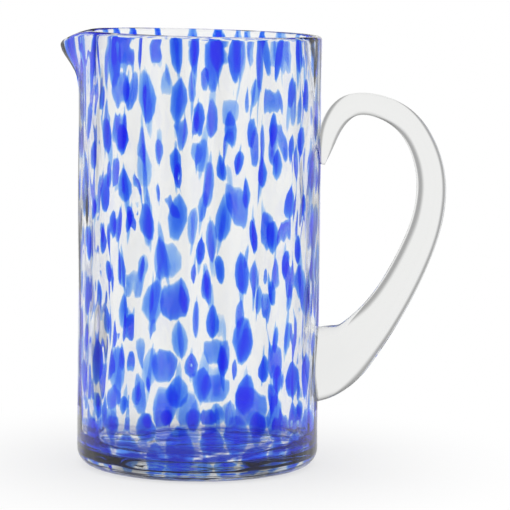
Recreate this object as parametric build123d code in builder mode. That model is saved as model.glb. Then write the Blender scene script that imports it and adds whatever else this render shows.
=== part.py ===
from build123d import *
import math
import os
import random

# A blown glass pitcher: clear vessel, applied clear handle and blue glass chips let into the wall.
# Millimetres. Origin on the vessel's axis at the underside, +Z up, pouring lip at -X, handle at +X.

# Vessel
body_radius = 56.0
body_height = 200.0
wall = 3.2
base_thickness = 8.0
base_corner = 7.0
floor_corner = 9.0
rim_round = 1.3

# Pouring lip, pulled out of the rim
lip_reach = 8.7        # how far its tip stands out of the wall
lip_height = 26.0      # from where it leaves the wall up to the rim
lip_drop = 6.0         # its tip below the rim
lip_tip_radius = 5.0
lip_bury = 0.3         # its flanks start this deep in the wall, so the surfaces cross cleanly
lip_sections = 7
lip_fall = 9.0         # the rim starts to fall this far inside the wall line
lip_overrun = 1.2      # the cut that makes it fall runs this far on past the tip
rim_lead = 0.5         # and starts this far above the rim, so that it meets it at an angle

# Handle: one gather, flared where it is pressed on the wall
handle_low = 45.5          # middle of the lower pad above the base
handle_seat_drop = 50.0    # middle of the upper seat below the rim
handle_reach = 52.3        # its centreline out of the wall, at the furthest
handle_crown_drop = 33.5   # top of its centreline below the rim
handle_thick_low = 22.0
handle_thick_top = 11.6
handle_depth_low = 17.0
handle_depth_top = 12.5
handle_taper = 0.6         # share of the handle's length in which it gets slim
handle_bow = (             # its centreline: shares of the reach, and of the rise from pad to seat
    (0.31, 0.075),
    (0.72, 0.345),
    (0.955, 0.62),
    (1.0, 0.81),
)
handle_bend = (            # and over the top: shares of the reach, and of the rise from seat to crown
    (0.89, 0.0),
    (0.43, 1.0),
    (0.13, 0.6),
)
handle_root_dip = 1.0      # its lower end starts this far below the pad's middle
handle_tail_dip = 4.1      # and its upper end stops this far below the seat's
pad_height = 35.0
pad_depth = 26.0
pad_blend = 0.08           # share of the handle's length that the pad's flare takes
seat_height = 15.5
seat_depth = 18.0
seat_blend = 0.08
handle_bury = 5.0          # its ends start this far in, and the wall trims them
handle_sections = 19

# Blue chips: upright ovals, rounder towards the base
chip_depth = 1.2
chip_gap_low = 1.3         # least clear glass between two chips near the base
chip_gap_high = 2.6        # and in the upper wall, where they are spread wider
chip_low = 3.4             # lowest chip edge above the base
chip_rim_gap = 1.8         # highest chip edge below the rim
chip_width_low = (10.0, 4.2)    # near the base the first are the largest, and the last fill in
chip_width_high = (9.0, 3.2)    # higher up they are mixed
chip_length_low = (15.0, 6.5)
chip_length_high = (21.0, 11.0)
chip_length_spread = (0.85, 1.2)
chip_round_below = 28.0    # rounder chips up to this height
chip_long_above = 68.0     # longer chips from this height on
chip_tilt = 10.0           # degrees either way
chip_tries = 12000
chip_seed = 11
chip_least_straight = 1.0  # a chip is at least this much longer than it is wide
cutter_out = 2.0           # each chip's cutter ends this far outside the lip
core_clearance = 0.5       # how far behind the chips' backs their cutters are trimmed
chip_bands = 8
chip_sides = ("handle_side", "back", "lip_side", "front")

lip_root = body_height - lip_height
lip_arc = 30.0             # degrees either side of the tip in which the rim falls
chip_seat_radius = body_radius - chip_depth
half_round = math.pi * chip_seat_radius


def smooth(share):
    """0 to 1, level at both ends."""
    share = min(max(share, 0.0), 1.0)
    return share * share * (3.0 - 2.0 * share)


def mix(low, high, share):
    return low + (high - low) * share


def lip_outline(height, inset):
    """The lip in plan at one height: where its flank leaves the wall, meets the tip, and the tip."""
    rise = smooth((height - lip_root) / (lip_height - lip_drop))
    reach = mix(-lip_bury / 2.0, lip_reach, rise)
    wall_circle = body_radius - inset - lip_bury
    tip_circle = lip_tip_radius - inset
    centre = body_radius + reach - lip_tip_radius
    angle = math.acos((wall_circle - tip_circle) / centre)
    on_wall = (-wall_circle * math.cos(angle), wall_circle * math.sin(angle))
    on_tip = (-centre - tip_circle * math.cos(angle), tip_circle * math.sin(angle))
    return on_wall, on_tip, (-centre - tip_circle, 0.0)


def vessel_form(inset, floor, corner):
    """The vessel's outside as a solid, brought in by an inset: round wall, bottom and pulled lip."""
    with BuildPart() as form:
        with BuildSketch(Plane.XY.offset(floor)):
            Circle(body_radius - inset)
        extrude(amount=body_height - floor)
        fillet(form.edges().group_by(Axis.Z)[0], corner)
        for step in range(lip_sections):
            height = lip_root + lip_height * step / (lip_sections - 1)
            on_wall, on_tip, tip = lip_outline(height, inset)
            with BuildSketch(Plane.XY.offset(height)):
                with BuildLine():
                    Line((on_wall[0], -on_wall[1]), on_wall)
                    Line(on_wall, on_tip)
                    ThreePointArc(on_tip, tip, (on_tip[0], -on_tip[1]))
                    Line((on_tip[0], -on_tip[1]), (on_wall[0], -on_wall[1]))
                make_face()
        loft()
    return form.part


def chip_clearance(first, second):
    """Clear glass on the unrolled wall between two chips, each taken as a capsule."""
    nearest = math.inf
    for one, other in ((first, second), (second, first)):
        dx, dz = other["half_axis"]
        for step in (-1.0, -0.5, 0.0, 0.5, 1.0):
            across = one["along"] + one["half_axis"][0] * step - other["along"]
            across = (across + half_round) % (2.0 * half_round) - half_round
            up = one["height"] + one["half_axis"][1] * step - other["height"]
            share = (across * dx + up * dz) / (dx * dx + dz * dz)
            share = min(max(share, -1.0), 1.0)
            nearest = min(nearest, math.hypot(across - dx * share, up - dz * share))
    return nearest - (first["width"] + second["width"]) / 2.0


def lay_out_chips():
    """Chips fall on the wall one by one, and one that would touch another is left out."""
    dice = random.Random(chip_seed)
    chips = []
    for turn in range(chip_tries):
        height = dice.uniform(chip_low, body_height - chip_rim_gap)
        along = dice.uniform(-half_round, half_round)
        up = smooth((height - chip_round_below) / (chip_long_above - chip_round_below))
        small = mix(turn / chip_tries, dice.random(), up)
        width = mix(mix(*chip_width_low, small), mix(*chip_width_high, small), up)
        length = mix(mix(*chip_length_low, small), mix(*chip_length_high, small), up)
        length *= dice.uniform(*chip_length_spread)
        tilt = dice.uniform(-chip_tilt, chip_tilt)
        top = body_height - chip_rim_gap
        if 180.0 - abs(math.degrees(along / chip_seat_radius)) < lip_arc:
            top -= lip_drop
        if height - length / 2.0 < chip_low or height + length / 2.0 > top:
            continue
        half_straight = max(length - width, chip_least_straight) / 2.0
        lean = math.radians(tilt)
        chip = {
            "along": along,
            "height": height,
            "width": width,
            "length": length,
            "tilt": tilt,
            "half_axis": (-half_straight * math.sin(lean), half_straight * math.cos(lean)),
        }
        near = [old for old in chips if abs(old["height"] - height) < old["length"] + length]
        gap = mix(chip_gap_low, chip_gap_high, up)
        if all(chip_clearance(chip, old) >= gap for old in near):
            chips.append(chip)
    return chips


def chip_plane(chip):
    """Where a chip's flat back lies: square to the radius through its middle."""
    angle = chip["along"] / chip_seat_radius
    out = Vector(math.cos(angle), math.sin(angle), 0.0)
    origin = out * chip_seat_radius + Vector(0.0, 0.0, chip["height"])
    return Plane(origin=origin, x_dir=(-out.Y, out.X, 0.0), z_dir=out)


def chip_home(solid):
    """The node that a chip belongs to, by height and by side of the vessel."""
    place = solid.center()
    band = min(int(place.Z / (body_height / chip_bands)), chip_bands - 1)
    quarter = round(math.degrees(math.atan2(place.Y, place.X)) / 90.0) % 4
    return "blue_chips_band_%d_%s" % (band + 1, chip_sides[quarter])


def edge_neighbours(edge, faces):
    """The faces among these that have this edge."""
    return [face for face in faces if any(edge.is_same(side) for side in face.edges())]


def write(piece, name):
    piece.label = name
    export_step(piece, "parts/%s.step" % name)


os.makedirs("parts", exist_ok=True)

outside = vessel_form(0.0, 0.0, base_corner)
inside = vessel_form(wall, base_thickness, floor_corner)
# Just below the chips' flat backs, so that it trims only those on the pulled lip
core_inset = chip_depth + core_clearance
lip_core = vessel_form(core_inset, core_inset, base_corner - chip_depth)

with BuildPart() as chip_cutters:
    for chip in lay_out_chips():
        with BuildSketch(chip_plane(chip)):
            Ellipse(chip["width"] / 2.0, chip["length"] / 2.0, rotation=chip["tilt"])
    extrude(amount=chip_depth + lip_reach + cutter_out)
    add(lip_core, mode=Mode.SUBTRACT)

with BuildPart() as glass_body:
    add(outside)
    add(inside, mode=Mode.SUBTRACT)
    with BuildSketch(Plane.XZ):
        with BuildLine():
            fall_start = Vector(lip_fall - body_radius, body_height + rim_lead)
            past_tip = Vector(-body_radius - lip_reach - lip_overrun, body_height - lip_drop - lip_overrun)
            lift = Vector(0.0, lip_height)
            TangentArc(fall_start, past_tip, tangent=(-1, 0))
            Polyline(past_tip, past_tip + lift, fall_start + lift, fall_start)
        make_face()
    extrude(amount=body_radius, both=True, mode=Mode.SUBTRACT)
    tops = glass_body.faces().filter_by(lambda face: face.normal_at().Z > 0.5)
    rim = tops.filter_by(lambda face: face.center().Z > past_tip.Y)
    fillet([edge for edge in rim.edges() if len(edge_neighbours(edge, rim)) == 1], rim_round)
    add(chip_cutters.part, mode=Mode.SUBTRACT)

with BuildPart() as chips:
    add(chip_cutters.part)
    add(outside, mode=Mode.INTERSECT)

with BuildLine(Plane.XZ) as handle_line:
    root = body_radius - handle_bury
    seat = body_height - handle_seat_drop
    crown = body_height - handle_crown_drop
    bow = [(body_radius + handle_reach * out, mix(handle_low, seat, up)) for out, up in handle_bow]
    bend = [(body_radius + handle_reach * out, mix(seat, crown, up)) for out, up in handle_bend]
    Spline((root, handle_low - handle_root_dip), *bow, *bend, (root, seat - handle_tail_dip))

with BuildPart() as handle:
    for step in range(handle_sections):
        along = step / (handle_sections - 1)
        pad = 1.0 - smooth(along / pad_blend)
        grip_seat = 1.0 - smooth((1.0 - along) / seat_blend)
        slim = smooth(along / handle_taper)
        thick = mix(handle_thick_low, handle_thick_top, slim)
        depth = mix(handle_depth_low, handle_depth_top, slim)
        thick += (pad_height - thick) * pad + (seat_height - thick) * grip_seat
        depth += (pad_depth - depth) * pad + (seat_depth - depth) * grip_seat
        spot = Plane(handle_line.line @ along, x_dir=(0, 1, 0), z_dir=handle_line.line % along)
        with BuildSketch(spot):
            Ellipse(depth / 2.0, thick / 2.0)
    loft()
    add(outside, mode=Mode.SUBTRACT)

write(glass_body.part, "glass_body")
write(handle.part, "handle")

homes = {}
for solid in chips.part.solids():
    homes.setdefault(chip_home(solid), []).append(solid)
for name in sorted(homes):
    write(Compound(children=homes[name]), name)
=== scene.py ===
import math
import random

import bpy
from mathutils import Matrix, Vector, noise


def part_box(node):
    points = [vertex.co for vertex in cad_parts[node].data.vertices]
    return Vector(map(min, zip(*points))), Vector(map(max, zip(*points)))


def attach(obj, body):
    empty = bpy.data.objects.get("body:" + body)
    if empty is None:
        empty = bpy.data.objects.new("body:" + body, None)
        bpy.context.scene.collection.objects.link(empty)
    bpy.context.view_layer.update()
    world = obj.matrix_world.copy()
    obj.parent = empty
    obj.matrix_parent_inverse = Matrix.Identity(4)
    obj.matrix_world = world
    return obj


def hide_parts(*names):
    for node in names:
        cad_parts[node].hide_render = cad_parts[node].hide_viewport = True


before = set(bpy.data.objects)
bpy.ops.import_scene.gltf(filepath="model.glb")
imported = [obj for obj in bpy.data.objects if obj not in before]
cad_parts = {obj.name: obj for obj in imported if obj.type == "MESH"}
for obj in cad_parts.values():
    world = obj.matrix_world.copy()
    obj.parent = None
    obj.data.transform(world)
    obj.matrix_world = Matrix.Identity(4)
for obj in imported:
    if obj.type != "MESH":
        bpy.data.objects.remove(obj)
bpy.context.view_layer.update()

bodyLow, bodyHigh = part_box("glass_body")
wallRadius = bodyHigh.y
rimHeight = bodyHigh.z
chipNodes = sorted(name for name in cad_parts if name.startswith("blue_chips"))
mm = 0.001


def smooth(share):
    share = min(max(share, 0.0), 1.0)
    return share * share * (3.0 - 2.0 * share)


def mix(low, high, share):
    return low + (high - low) * share


def deselectAll():
    if bpy.context.object and bpy.context.object.mode != "OBJECT":
        bpy.ops.object.mode_set(mode="OBJECT")
    bpy.ops.object.select_all(action="DESELECT")


def pick(piece):
    deselectAll()
    piece.select_set(True)
    bpy.context.view_layer.objects.active = piece


def editAll(piece):
    pick(piece)
    bpy.ops.object.mode_set(mode="EDIT")
    bpy.ops.mesh.select_all(action="SELECT")


def leaveEdit():
    bpy.ops.object.mode_set(mode="OBJECT")


def drawProfile(name, points):
    # one vertex, extruded from point to point
    deselectAll()
    bpy.ops.mesh.primitive_plane_add(size=mm, location=(0, 0, 0))
    profile = bpy.context.object
    profile.name = profile.data.name = name
    bpy.ops.object.mode_set(mode="EDIT")
    bpy.ops.mesh.merge(type="CENTER")
    bpy.ops.transform.translate(value=points[0])
    for here, there in zip(points, points[1:]):
        bpy.ops.mesh.extrude_region_move(TRANSFORM_OT_translate={"value": there - here})
    leaveEdit()
    return profile


def arc(centre, radius, start, end, steps):
    # points of an arc in the XZ plane, angles in degrees
    points = []
    for step in range(steps + 1):
        angle = math.radians(mix(start, end, step / steps))
        points.append(centre + Vector((math.cos(angle), 0.0, math.sin(angle))) * radius)
    return points


def run(start, end, steps):
    return [start.lerp(end, step / steps) for step in range(1, steps)]


def shaderNodes(name):
    material = bpy.data.materials.new(name)
    material.use_nodes = True
    material.node_tree.nodes.clear()
    return material, material.node_tree.nodes, material.node_tree.links


def rampNode(nodes, links, value, spread, low, high):
    ramp = nodes.new("ShaderNodeValToRGB")
    for stop, position, colour in zip(ramp.color_ramp.elements, spread, (low, high)):
        stop.position = position
        stop.color = colour
    links.new(value, ramp.inputs["Fac"])
    return ramp.outputs["Color"]


def rangeNode(nodes, links, value, start, end, low, high):
    # an even, soft step from low to high
    step = nodes.new("ShaderNodeMapRange")
    step.interpolation_type = "SMOOTHSTEP"
    step.inputs["From Min"].default_value = start
    step.inputs["From Max"].default_value = end
    step.inputs["To Min"].default_value = low
    step.inputs["To Max"].default_value = high
    links.new(value, step.inputs["Value"])
    return step.outputs["Result"]


def mathNode(nodes, links, operation, first, second=None):
    node = nodes.new("ShaderNodeMath")
    node.operation = operation
    for socket, value in zip(node.inputs, (first, second)):
        if value is None:
            continue
        if isinstance(value, (int, float)):
            socket.default_value = value
        else:
            links.new(value, socket)
    return node.outputs[0]


def wear(piece, material):
    piece.data.materials.clear()
    piece.data.materials.append(material)
    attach(piece, "root")


clearGlass = {
    "tint": (0.945, 0.948, 0.945, 1.0),
    "bodyColour": (0.45, 0.47, 0.49, 1.0),
    "bodyDensity": 9.0,
    "ior": 1.5,
    "roughness": 0.0,
    "waveSize": 60.0,       # waves per metre across
    "waveStretch": 0.3,     # and as a share of that upwards
    "waveDetail": 1.5,
    "waveStrength": 0.9,
    "waveHeight": 0.0012,
    "grain": "",            # the waves follow this attribute, if it has one
}


def makeClearGlass(name, look):
    material, nodes, links = shaderNodes(name)
    output = nodes.new("ShaderNodeOutputMaterial")
    glass = nodes.new("ShaderNodeBsdfPrincipled")
    glass.inputs["Base Color"].default_value = look["tint"]
    glass.inputs["Roughness"].default_value = look["roughness"]
    glass.inputs["IOR"].default_value = look["ior"]
    glass.inputs["Transmission Weight"].default_value = 1.0
    if look["grain"]:
        place = nodes.new("ShaderNodeAttribute")
        place.attribute_name = look["grain"]
    else:
        place = nodes.new("ShaderNodeTexCoord")
    stretch = nodes.new("ShaderNodeMapping")
    stretch.inputs["Scale"].default_value = (1.0, 1.0, look["waveStretch"])
    waves = nodes.new("ShaderNodeTexNoise")
    waves.inputs["Scale"].default_value = look["waveSize"]
    waves.inputs["Detail"].default_value = look["waveDetail"]
    bump = nodes.new("ShaderNodeBump")
    bump.inputs["Strength"].default_value = look["waveStrength"]
    bump.inputs["Distance"].default_value = look["waveHeight"]
    links.new(place.outputs["Vector" if look["grain"] else "Object"], stretch.inputs["Vector"])
    links.new(stretch.outputs["Vector"], waves.inputs["Vector"])
    links.new(waves.outputs["Fac"], bump.inputs["Height"])
    links.new(bump.outputs["Normal"], glass.inputs["Normal"])
    links.new(glass.outputs["BSDF"], output.inputs["Surface"])
    body = nodes.new("ShaderNodeVolumeAbsorption")
    body.inputs["Color"].default_value = look["bodyColour"]
    body.inputs["Density"].default_value = look["bodyDensity"]
    links.new(body.outputs["Volume"], output.inputs["Volume"])
    return material


vessel = {
    "wall": 0.0032,
    "baseThickness": 0.008,
    "baseCorner": 0.007,
    "floorCorner": 0.010,
    "punt": 0.0012,          # hollow under the base
    "puntBlend": 0.020,
    "floorCrown": 0.0012,    # swell of the floor inside
    "rimBead": 0.0019,       # half of the rim's thickness
    "rimBlend": 0.010,
    "turns": 256,
    "wallSteps": 60,
    "flatSteps": 8,
    "cornerSteps": 10,
    "bendSteps": 12,
    "waver": 0.0003,         # how far the wall wanders
    "waverInside": -1.3,     # the inner face wanders the other way, and further
    "waverSize": 0.016,
    "waverStretch": 0.35,
    "rimTilt": 0.0010,       # the whole mouth is cut a little aslant
    "chipFoot": 0.0016,      # blue glass reaches this near the underside
    "chipTop": 0.0012,       # and this near the rim
    "creep": 0.05,           # past those it goes on by only this share
}

lip = {
    "reach": -bodyLow.x - wallRadius,
    "height": 0.026,
    "drop": 0.006,
    "tipRadius": 0.005,
    "fallStart": 0.009,      # the rim begins to fall this far before the round wall's edge
}
lipRoot = rimHeight - lip["height"]


def lipOut(angle, height):
    # how far the pulled lip stands out of the round wall, before the rim falls
    reach = lip["reach"] * smooth((height - lipRoot) / lip["height"])
    if reach < 0.01 * mm:
        return 0.0
    off = abs(math.pi - abs(angle))
    tip = lip["tipRadius"]
    centre = wallRadius + reach - tip
    tangent = math.acos((wallRadius - tip) / centre)
    tipEdge = math.atan2(tip * math.sin(tangent), centre + tip * math.cos(tangent))
    if off >= tangent:
        return 0.0
    if off > tipEdge:
        return wallRadius / math.cos(tangent - off) - wallRadius
    across = centre * math.sin(off)
    return centre * math.cos(off) + math.sqrt(tip * tip - across * across) - wallRadius


def rimFall(x, height):
    # the rim dips towards the lip's tip
    start = lip["fallStart"] - wallRadius
    share = max(start - x, 0.0) / (start + wallRadius + lip["reach"])
    return lip["drop"] * share * share * smooth((height - lipRoot) / lip["height"])


def waver(x, y, z):
    # slow hand-blown unevenness, longer upwards than across
    spot = Vector((x, y, z * vessel["waverStretch"])) / vessel["waverSize"]
    return vessel["waver"] * noise.noise(spot)


def rimLean(x, height):
    return vessel["rimTilt"] * x / wallRadius * smooth((height - lipRoot) / lip["height"])


def easeLimit(value, low, high):
    # past its limits a value creeps on very slowly, so no points fall together
    if value < low:
        return low + (value - low) * vessel["creep"]
    if value > high:
        return high + (value - high) * vessel["creep"]
    return value


def wallPoint(angle, height, depth):
    # a point below the wall's outer face, on the base corner and the pulled lip too
    corner = vessel["baseCorner"]
    up = easeLimit(height, vessel["chipFoot"], rimHeight)
    inset = corner - math.sqrt(corner * corner - max(corner - up, 0.0) ** 2) + depth
    if up > corner:
        inset -= waver(wallRadius * math.cos(angle), wallRadius * math.sin(angle), up)
    level = up
    for _ in range(3):
        radius = wallRadius + lipOut(angle, level) - inset
        x = radius * math.cos(angle)
        level = easeLimit(up + rimFall(x, level), 0.0, rimHeight - vessel["chipTop"])
    return Vector((x, radius * math.sin(angle), level - rimFall(x, level) - rimLean(x, level)))


def makeVessel():
    wall, corner, floor = vessel["wall"], vessel["baseCorner"], vessel["floorCorner"]
    bead, thick = vessel["rimBead"], vessel["baseThickness"]
    inner = wallRadius - wall
    underEdge = Vector((wallRadius - corner, 0, 0))
    floorEdge = Vector((inner - floor, 0, thick))
    points = [Vector((0, 0, 0))] + run(Vector((0, 0, 0)), underEdge, vessel["flatSteps"])
    points += arc(Vector((wallRadius - corner, 0, corner)), corner, -90, 0, vessel["cornerSteps"])
    top = Vector((wallRadius, 0, rimHeight - bead))
    points += run(points[-1], top, vessel["wallSteps"])
    points += arc(Vector((wallRadius - bead, 0, rimHeight - bead)), bead, 0, 180, vessel["bendSteps"])
    foot = Vector((inner, 0, thick + floor))
    for spot in run(points[-1], foot, vessel["wallSteps"]):
        swell = 1.0 - smooth((rimHeight - bead - spot.z) / vessel["rimBlend"])
        points.append(Vector((inner - (2.0 * bead - wall) * swell, 0, spot.z)))
    points += arc(Vector((inner - floor, 0, thick + floor)), floor, 0, -90, vessel["bendSteps"])
    points += run(floorEdge, Vector((0, 0, thick)), vessel["flatSteps"]) + [Vector((0, 0, thick))]
    body = drawProfile("vessel", points)
    editAll(body)
    bpy.ops.mesh.spin(steps=vessel["turns"], angle=2.0 * math.pi, center=(0, 0, 0), axis=(0, 0, 1))
    bpy.ops.mesh.select_all(action="SELECT")
    bpy.ops.mesh.remove_doubles(threshold=0.01 * mm)
    bpy.ops.mesh.normals_make_consistent(inside=False)
    leaveEdit()
    for vertex in body.data.vertices:
        x, y, z = vertex.co
        radius, angle = math.hypot(x, y), math.atan2(y, x)
        if radius > inner - floor and z > lipRoot:
            radius += lipOut(angle, z)
        level = smooth((wallRadius - radius) / (wallRadius - corner))
        if z < thick / 2.0:
            z += vessel["punt"] * level * smooth((wallRadius - corner - radius) / vessel["puntBlend"])
        elif radius < inner - mm and z < thick + floor:
            z += vessel["floorCrown"] * smooth(1.0 - radius / (inner - floor))
        if z > corner:
            outside = radius > wallRadius - wall / 2.0
            radius += waver(x, y, z) * (1.0 if outside else vessel["waverInside"])
        x, y = radius * math.cos(angle), radius * math.sin(angle)
        vertex.co = (x, y, z - rimFall(x, z) - rimLean(x, z))
    pick(body)
    bpy.ops.object.shade_smooth()
    wear(body, makeClearGlass("clear blown glass", clearGlass))
    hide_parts("glass_body")
    print("vessel", len(body.data.polygons), "faces")


handleGlass = dict(clearGlass)
handleGlass.update({
    "tint": (0.88, 0.882, 0.872, 1.0),
    "ior": 1.18,             # its soft edges call for a gentle bend
    "bodyDensity": 4.0,
    "roughness": 0.05,
    "grain": "grain",        # its waves follow the drawn glass
    "waveSize": 5.0,
    "waveStretch": 1.0,
    "waveStrength": 0.25,
    "waveHeight": 0.0005,
})

handle = {
    # each section: how far out and how high as shares of the handle's own box, then thickness and depth
    "sections": [
        (-0.029, 0.121, 0.0352, 0.0270),
        (0.111, 0.135, 0.0332, 0.0255),
        (0.238, 0.163, 0.0276, 0.0220),
        (0.358, 0.217, 0.0222, 0.0190),
        (0.482, 0.283, 0.0186, 0.0172),
        (0.612, 0.366, 0.0167, 0.0160),
        (0.742, 0.472, 0.0155, 0.0151),
        (0.842, 0.584, 0.0145, 0.0144),
        (0.880, 0.696, 0.0138, 0.0139),
        (0.840, 0.800, 0.0129, 0.0134),
        (0.722, 0.893, 0.0119, 0.0130),
        (0.548, 0.949, 0.0110, 0.0126),
        (0.350, 0.971, 0.0103, 0.0126),
        (0.186, 0.954, 0.0109, 0.0131),
        (0.082, 0.897, 0.0100, 0.0133),
        (0.042, 0.836, 0.0070, 0.0113),
        (0.017, 0.775, 0.0020, 0.0050),
    ],
    "steps": 110,
    "fineSteps": 40,
    "around": 40,
    "rootSteps": 21,         # over these it turns from flat on the wall to along its own way
    "drawn": 1.2,            # its draw lines run this long against their width
}


def evenSamples(points, count):
    # a smooth curve through the listed points, sampled at equal lengths along the handle
    controls = list(points)
    for _ in range(20):    # settles the controls so that the curve meets every point
        for i in range(1, len(points) - 1):
            controls[i] = (6.0 * points[i] - controls[i - 1] - controls[i + 1]) / 4.0
    controls = [2.0 * controls[0] - controls[1]] + controls + [2.0 * controls[-1] - controls[-2]]
    fine = []
    for i in range(len(points) - 1):
        a, b, c, d = controls[i:i + 4]
        for step in range(handle["fineSteps"]):
            t = step / handle["fineSteps"]
            u = 1.0 - t
            fine.append((u ** 3 * a + (3.0 * t ** 3 - 6.0 * t * t + 4.0) * b
                         + (3.0 * u ** 3 - 6.0 * u * u + 4.0) * c + t ** 3 * d) / 6.0)
    fine.append(points[-1])
    lengths = [0.0]
    for here, there in zip(fine, fine[1:]):
        lengths.append(lengths[-1] + (there.xy - here.xy).length)
    samples, index = [], 0
    for step in range(count + 1):
        want = lengths[-1] * step / count
        while index < len(fine) - 2 and lengths[index + 1] < want:
            index += 1
        share = (want - lengths[index]) / (lengths[index + 1] - lengths[index])
        samples.append(fine[index].lerp(fine[index + 1], share))
    return samples


def makeHandle():
    low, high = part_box("handle")
    points = []
    for out, up, thick, depth in handle["sections"]:
        points.append(Vector((mix(wallRadius, high.x, out), mix(low.z, high.z, up), thick, depth)))
    samples = evenSamples(points, handle["steps"])
    deselectAll()
    bpy.ops.mesh.primitive_circle_add(vertices=handle["around"], radius=0.5, fill_type="NGON")
    grip = bpy.context.object
    grip.name = grip.data.name = "handle_glass"
    side = Vector((0.0, 1.0, 0.0))
    last = Matrix()
    grain = {}
    for step, sample in enumerate(samples):
        x, z, thick, depth = sample
        way = samples[min(step + 1, len(samples) - 1)] - samples[max(step - 1, 0)]
        turned = math.atan2(way.y, way.x)
        if step < handle["rootSteps"]:
            turned *= step / handle["rootSteps"]
        ahead = Vector((math.cos(turned), 0.0, math.sin(turned)))
        section = Matrix((side * depth, ahead.cross(side) * thick, ahead)).transposed().to_4x4()
        section.translation = (x, 0.0, z)
        if step:
            bpy.ops.object.mode_set(mode="EDIT")
            bpy.ops.mesh.extrude_region_move()
        else:
            editAll(grip)
        leaveEdit()
        for vertex in grip.data.vertices:
            if vertex.select:
                flat = last.inverted() @ vertex.co
                grain[vertex.index] = (flat.x, flat.y, handle["drawn"] * step / handle["steps"])
                vertex.co = section @ flat
        last = section
    editAll(grip)
    bpy.ops.mesh.normals_make_consistent(inside=False)
    leaveEdit()
    bpy.ops.object.shade_smooth()
    lines = grip.data.attributes.new("grain", "FLOAT_VECTOR", "POINT")
    for index, value in grain.items():
        lines.data[index].vector = value
    wear(grip, makeClearGlass("clear handle glass", handleGlass))
    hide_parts("handle")
    print("handle", len(grip.data.polygons), "faces")


blueGlass = {
    "colour": (0.02, 0.50, 0.996, 1.0),
    "density": 2750.0,
    "streaks": 380.0,        # per metre across
    "streakStretch": 0.25,   # and as a share of that upwards
    "streakDetail": 2.0,
    "streakSpread": (0.38, 0.68),
    "paleStreak": (1.0, 1.0, 1.0, 1.0),
    "deepStreak": (0.80, 0.88, 1.0, 1.0),
}

chip = {
    "segments": 12,
    "rings": 6,
    "lengths": (0.98, 1.25),      # its soft edge reaches past the set-in oval
    "widths": (0.95, 1.30),
    "mostLonger": 0.0013,         # at each end
    "mostWider": 0.0009,
    "sunk": 0.00025,              # the clear skin over it
    "bulge": 0.0001,
    "thick": (0.0004, 0.0016),
    "dome": 0.9,                  # higher is softer at the edge
    "taper": 0.35,
    "pointed": 0.15,
    "heavyEnd": 0.35,
    "bend": 0.12,
    "ragged": 0.24,
    "lobes": 1.3,                 # how often the edge goes in and out
    "variety": 50.0,              # so far apart in the noise do the edges start
    "rimReach": 0.016,            # drops ending this near the rim run up to it
    "overRim": 0.003,
    "rimWidth": 1.15,
    "baseReach": 0.014,           # and this near the base, down to its corner
    "foot": 0.0040,
    "footWidth": 1.35,
    "beside": 0.4,                # share of two widths within which drops stand in line
    "seed": 8,
}

# paler streaks deeper in the wall, beside some of the chips
skirt = {
    "share": 0.7,
    "depths": (0.0018, 0.0024),
    "thick": (0.0002, 0.0005),
    "lengths": (1.1, 1.9),
    "widths": (0.30, 0.70),
    "shift": 0.35,
}


def makeBlueGlass():
    material, nodes, links = shaderNodes("cobalt blue glass")
    output = nodes.new("ShaderNodeOutputMaterial")
    clear = nodes.new("ShaderNodeBsdfTransparent")
    deep = nodes.new("ShaderNodeVolumeAbsorption")
    deep.inputs["Color"].default_value = blueGlass["colour"]
    deep.inputs["Density"].default_value = blueGlass["density"]
    place = nodes.new("ShaderNodeTexCoord")
    stretch = nodes.new("ShaderNodeMapping")
    stretch.inputs["Scale"].default_value = (1.0, 1.0, blueGlass["streakStretch"])
    streaks = nodes.new("ShaderNodeTexNoise")
    streaks.inputs["Scale"].default_value = blueGlass["streaks"]
    streaks.inputs["Detail"].default_value = blueGlass["streakDetail"]
    links.new(place.outputs["Object"], stretch.inputs["Vector"])
    links.new(stretch.outputs["Vector"], streaks.inputs["Vector"])
    tone = rampNode(nodes, links, streaks.outputs["Fac"], blueGlass["streakSpread"],
                    blueGlass["paleStreak"], blueGlass["deepStreak"])
    links.new(tone, clear.inputs["Color"])
    links.new(clear.outputs["BSDF"], output.inputs["Surface"])
    links.new(deep.outputs["Volume"], output.inputs["Volume"])
    return material


def isOpen(place, others, upward):
    # no other drop lies between this one and the rim, or the base
    for other in others:
        apart = abs(other["angle"] - place["angle"]) * wallRadius
        beside = apart < (other["width"] + place["width"]) * chip["beside"]
        if other is not place and beside and (other["height"] > place["height"]) == upward:
            return False
    return True


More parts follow.
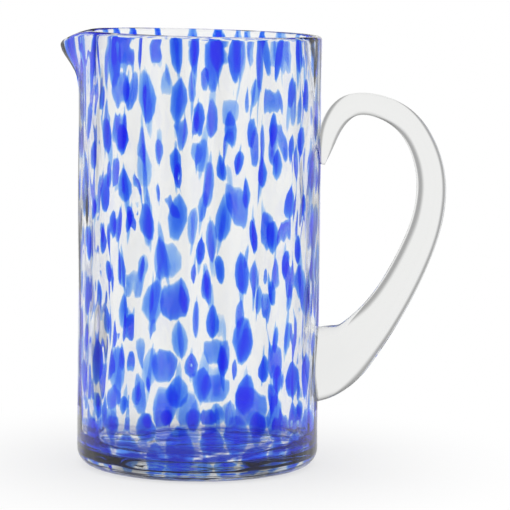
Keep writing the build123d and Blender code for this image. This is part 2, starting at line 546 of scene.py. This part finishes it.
def chipPlaces(node):
    # each loose solid of the node: where it sits on the wall, its size and its lean
    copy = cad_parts[node].copy()
    copy.data = copy.data.copy()
    copy.parent = None
    bpy.context.collection.objects.link(copy)
    editAll(copy)
    bpy.ops.mesh.remove_doubles(threshold=0.005 * mm)
    bpy.ops.mesh.separate(type="LOOSE")
    leaveEdit()
    places = []
    for loose in list(bpy.context.selected_objects):
        spots = [vertex.co.copy() for vertex in loose.data.vertices]
        middle = sum(spots, Vector()) / len(spots)
        angle = math.atan2(middle.y, middle.x)
        side = Vector((-math.sin(angle), math.cos(angle), 0.0))
        flat = [(spot.dot(side), spot.z) for spot in spots]
        across = [a for a, _ in flat]
        upward = [z for _, z in flat]
        midAcross = (min(across) + max(across)) / 2.0
        midUp = (min(upward) + max(upward)) / 2.0
        xx = sum((a - midAcross) ** 2 for a, _ in flat)
        zz = sum((z - midUp) ** 2 for _, z in flat)
        xz = sum((a - midAcross) * (z - midUp) for a, z in flat)
        lean = 0.5 * math.atan2(-2.0 * xz, zz - xx)
        sine, cosine = math.sin(lean), math.cos(lean)
        longs = [(z - midUp) * cosine - (a - midAcross) * sine for a, z in flat]
        wides = [(a - midAcross) * cosine + (z - midUp) * sine for a, z in flat]
        places.append({
            "angle": angle + midAcross / wallRadius,
            "height": midUp,
            "length": max(longs) - min(longs),
            "width": max(wides) - min(wides),
            "lean": lean,
        })
        bpy.data.objects.remove(loose)
    places.sort(key=lambda place: (round(place["height"], 5), place["angle"]))
    return places


def reachEdges(places):
    # the topmost drops run up to the rim, and the lowest down to the base corner
    for place in places:
        foot = place["height"] - place["length"] / 2.0
        end = place["height"] + place["length"] / 2.0
        if end > rimHeight - chip["rimReach"] and isOpen(place, places, True):
            end = rimHeight + chip["overRim"]
            place["width"] *= chip["rimWidth"]
        if foot < chip["baseReach"] and isOpen(place, places, False):
            foot = chip["foot"]
            place["width"] *= chip["footWidth"]
        place["height"], place["length"] = (foot + end) / 2.0, end - foot


def makeLens():
    # a round bead with its poles front and back: the start of every chip
    deselectAll()
    bpy.ops.mesh.primitive_uv_sphere_add(segments=chip["segments"], ring_count=chip["rings"], radius=1.0)
    lens = bpy.context.object
    lens.name = "lens"
    return lens


def shapeChip(lens, place, dice, pale):
    # lays a copy of the lens on the wall as a melted, slightly uneven drop of glass
    piece = lens.copy()
    piece.data = lens.data.copy()
    bpy.context.collection.objects.link(piece)
    kind = skirt if pale else chip
    halfLength = place["length"] * dice.uniform(*kind["lengths"]) / 2.0
    halfWidth = place["width"] * dice.uniform(*kind["widths"]) / 2.0
    if not pale:
        halfLength = min(halfLength, place["length"] / 2.0 + chip["mostLonger"])
        halfWidth = min(halfWidth, place["width"] / 2.0 + chip["mostWider"])
    thick = dice.uniform(*kind["thick"])
    taper = dice.uniform(-chip["taper"], chip["taper"])
    heavyEnd = dice.uniform(-chip["heavyEnd"], chip["heavyEnd"])
    shift = dice.uniform(-skirt["shift"], skirt["shift"]) * place["length"] if pale else 0.0
    bend = dice.uniform(-chip["bend"], chip["bend"])
    mark = Vector((dice.uniform(0, chip["variety"]), dice.uniform(0, chip["variety"]), 0.0))
    start = dice.choice(skirt["depths"]) if pale else chip["sunk"]
    sine, cosine = math.sin(place["lean"]), math.cos(place["lean"])
    for vertex in piece.data.vertices:
        x, y, z = vertex.co
        edge = math.atan2(y, x)
        wobble = noise.noise(mark + Vector((math.cos(edge), math.sin(edge), 0.0)) * chip["lobes"])
        size = 1.0 + chip["ragged"] * wobble
        belly = x * (1.0 + taper * y) * (1.0 - chip["pointed"] * y * y)
        wide = halfWidth * size * (belly + bend * (1.0 - y * y))
        tall = halfLength * size * y + shift
        body = abs(z) ** chip["dome"] * (1.0 + heavyEnd * y)
        depth = start - chip["bulge"] * z if z > 0.0 else start + thick * body
        across, up = wide * cosine - tall * sine, wide * sine + tall * cosine
        vertex.co = wallPoint(place["angle"] + across / wallRadius, place["height"] + up, depth)
    return piece


def makeChips():
    lens, material = makeLens(), makeBlueGlass()
    dice = random.Random(chip["seed"])
    total = 0
    for node in chipNodes:
        drops = []
        places = chipPlaces(node)
        reachEdges(places)
        for place in places:
            drops.append(shapeChip(lens, place, dice, False))
            if dice.random() < skirt["share"]:
                drops.append(shapeChip(lens, place, dice, True))
        deselectAll()
        for drop in drops:
            drop.select_set(True)
        bpy.context.view_layer.objects.active = drops[0]
        bpy.ops.object.join()
        band = bpy.context.object
        band.name = band.data.name = node.replace("blue_chips", "chips")
        editAll(band)
        bpy.ops.mesh.normals_make_consistent(inside=False)
        leaveEdit()
        bpy.ops.object.shade_smooth()
        wear(band, material)
        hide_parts(node)
        total += len(drops)
    bpy.data.objects.remove(lens)
    print("chips", total, "drops of blue glass")


studio = {
    "cameraAway": 1.27,
    "cameraUp": 0.242,
    "cameraAside": 0.0246,
    "cameraPitch": 6.5,
    "cameraRoll": 0.58,
    "lens": 194.5,
    "flagCount": 8.0,                  # soft dark flags round the object
    "flagLow": 0.45,
    "roofRise": (0.16, 0.55),          # the room darkens upwards between these
    "overhead": 0.32,                  # to this share
    "sheenLoss": 0.75,                 # share of the room missing from the glass's first sheen
    "sheenDepth": 1.5,                 # only a ray's first bounce
    "floorSize": 0.18,
    "floorSides": 96,
    "floorGap": 0.0002,
    "floorColour": (0.93, 0.93, 0.93, 1.0),
    "floorFade": (0.06, 0.17),         # it turns plain white between these
    "floorGlow": 0.65,
    "underEdge": (0.010, 0.004),       # outside and inside the wall
    "paintedChipLight": (0.02, 0.06, 0.52, 1.0),    # painted light: a glow standing in for the blue light that came through the chips
    # painted light: the pale pools of light in that glow
    "paintedPoolLight": (0.95, 0.97, 1.0, 1.0),
    "poolSize": 70.0,
    "poolDetail": 3.0,
    "poolSpread": (0.50, 0.66),
}


def makeWorld():
    world = bpy.data.worlds.new("soft studio")
    bpy.context.scene.world = world
    world.use_nodes = True
    nodes, links = world.node_tree.nodes, world.node_tree.links
    nodes.clear()
    output = nodes.new("ShaderNodeOutputWorld")
    light = nodes.new("ShaderNodeBackground")
    light.inputs["Color"].default_value = (1.0, 1.0, 1.0, 1.0)
    way = nodes.new("ShaderNodeTexCoord")
    split = nodes.new("ShaderNodeSeparateXYZ")
    links.new(way.outputs["Generated"], split.inputs["Vector"])
    x, y, z = split.outputs["X"], split.outputs["Y"], split.outputs["Z"]
    turn = mathNode(nodes, links, "ARCTAN2", y, x)
    wave = mathNode(nodes, links, "COSINE", mathNode(nodes, links, "MULTIPLY", turn, studio["flagCount"]))
    flags = rangeNode(nodes, links, wave, -1.0, 0.0, studio["flagLow"], 1.0)
    roof = rangeNode(nodes, links, z, *studio["roofRise"], 1.0, studio["overhead"])
    pattern = mathNode(nodes, links, "MULTIPLY", flags, roof)
    # camera and diffuse rays see plain white, all others the flagged room
    path = nodes.new("ShaderNodeLightPath")
    plain = mathNode(nodes, links, "ADD", path.outputs["Is Camera Ray"], path.outputs["Is Diffuse Ray"])
    # the glass's first sheen mirrors a dim room, so the blue stays deep
    first = mathNode(nodes, links, "LESS_THAN", path.outputs["Ray Depth"], studio["sheenDepth"])
    sheen = mathNode(nodes, links, "MULTIPLY", path.outputs["Is Reflection Ray"], first)
    dimming = mathNode(nodes, links, "MULTIPLY", sheen, studio["sheenLoss"])
    room = mathNode(nodes, links, "MULTIPLY", pattern, mathNode(nodes, links, "SUBTRACT", 1.0, dimming))
    strength = mathNode(nodes, links, "MAXIMUM", plain, room)
    links.new(strength, light.inputs["Strength"])
    links.new(light.outputs["Background"], output.inputs["Surface"])


def makeFloor():
    deselectAll()
    bpy.ops.mesh.primitive_circle_add(vertices=studio["floorSides"], radius=studio["floorSize"],
                                      fill_type="NGON", location=(0, 0, -studio["floorGap"]))
    ground = bpy.context.object
    ground.name = ground.data.name = "floor"
    material, nodes, links = shaderNodes("pale floor")
    output = nodes.new("ShaderNodeOutputMaterial")
    matt = nodes.new("ShaderNodeBsdfDiffuse")
    matt.inputs["Color"].default_value = studio["floorColour"]
    white = nodes.new("ShaderNodeEmission")
    place = nodes.new("ShaderNodeTexCoord")
    away = nodes.new("ShaderNodeVectorMath")
    away.operation = "LENGTH"
    links.new(place.outputs["Object"], away.inputs[0])
    fade = rangeNode(nodes, links, away.outputs["Value"], *studio["floorFade"], studio["floorGlow"], 1.0)
    blend = nodes.new("ShaderNodeMixShader")
    links.new(fade, blend.inputs["Fac"])
    links.new(matt.outputs["BSDF"], blend.inputs[1])
    links.new(white.outputs["Emission"], blend.inputs[2])
    # painted light: seen only through the glass, the ground right under the base glows dark blue with
    # pale pools of light, standing in for light that came through the chips
    outer, inner = wallRadius + studio["underEdge"][0], wallRadius - studio["underEdge"][1]
    under = rangeNode(nodes, links, away.outputs["Value"], outer, inner, 0.0, 1.0)
    path = nodes.new("ShaderNodeLightPath")
    seen = mathNode(nodes, links, "MULTIPLY", under, path.outputs["Is Transmission Ray"])
    paintedPools = nodes.new("ShaderNodeTexNoise")
    paintedPools.inputs["Scale"].default_value = studio["poolSize"]
    paintedPools.inputs["Detail"].default_value = studio["poolDetail"]
    links.new(place.outputs["Object"], paintedPools.inputs["Vector"])
    tone = rampNode(nodes, links, paintedPools.outputs["Fac"], studio["poolSpread"],
                    studio["paintedChipLight"], studio["paintedPoolLight"])
    # a glowing patch, no lamp, that paints the light and shade cast through the chips
    paintedUnderGlow = nodes.new("ShaderNodeEmission")
    links.new(tone, paintedUnderGlow.inputs["Color"])
    both = nodes.new("ShaderNodeMixShader")
    links.new(seen, both.inputs["Fac"])
    links.new(blend.outputs["Shader"], both.inputs[1])
    links.new(paintedUnderGlow.outputs["Emission"], both.inputs[2])
    links.new(both.outputs["Shader"], output.inputs["Surface"])
    ground.data.materials.append(material)


def makeCamera():
    data = bpy.data.cameras.new("camera")
    data.lens = studio["lens"]
    camera = bpy.data.objects.new("camera", data)
    bpy.context.collection.objects.link(camera)
    camera.location = (studio["cameraAside"], -studio["cameraAway"], studio["cameraUp"])
    pitch, roll = math.radians(90.0 - studio["cameraPitch"]), math.radians(studio["cameraRoll"])
    camera.rotation_euler = (pitch, -roll, 0.0)
    bpy.context.scene.camera = camera


def setScene():
    scene = bpy.context.scene
    scene.view_settings.view_transform = "Standard"
    scene.cycles.max_bounces = 32
    scene.cycles.transmission_bounces = 32
    scene.cycles.glossy_bounces = 12
    scene.cycles.transparent_max_bounces = 64


makeVessel()
makeHandle()
makeChips()
makeWorld()
makeFloor()
makeCamera()
setScene()
print("studio, floor and camera")
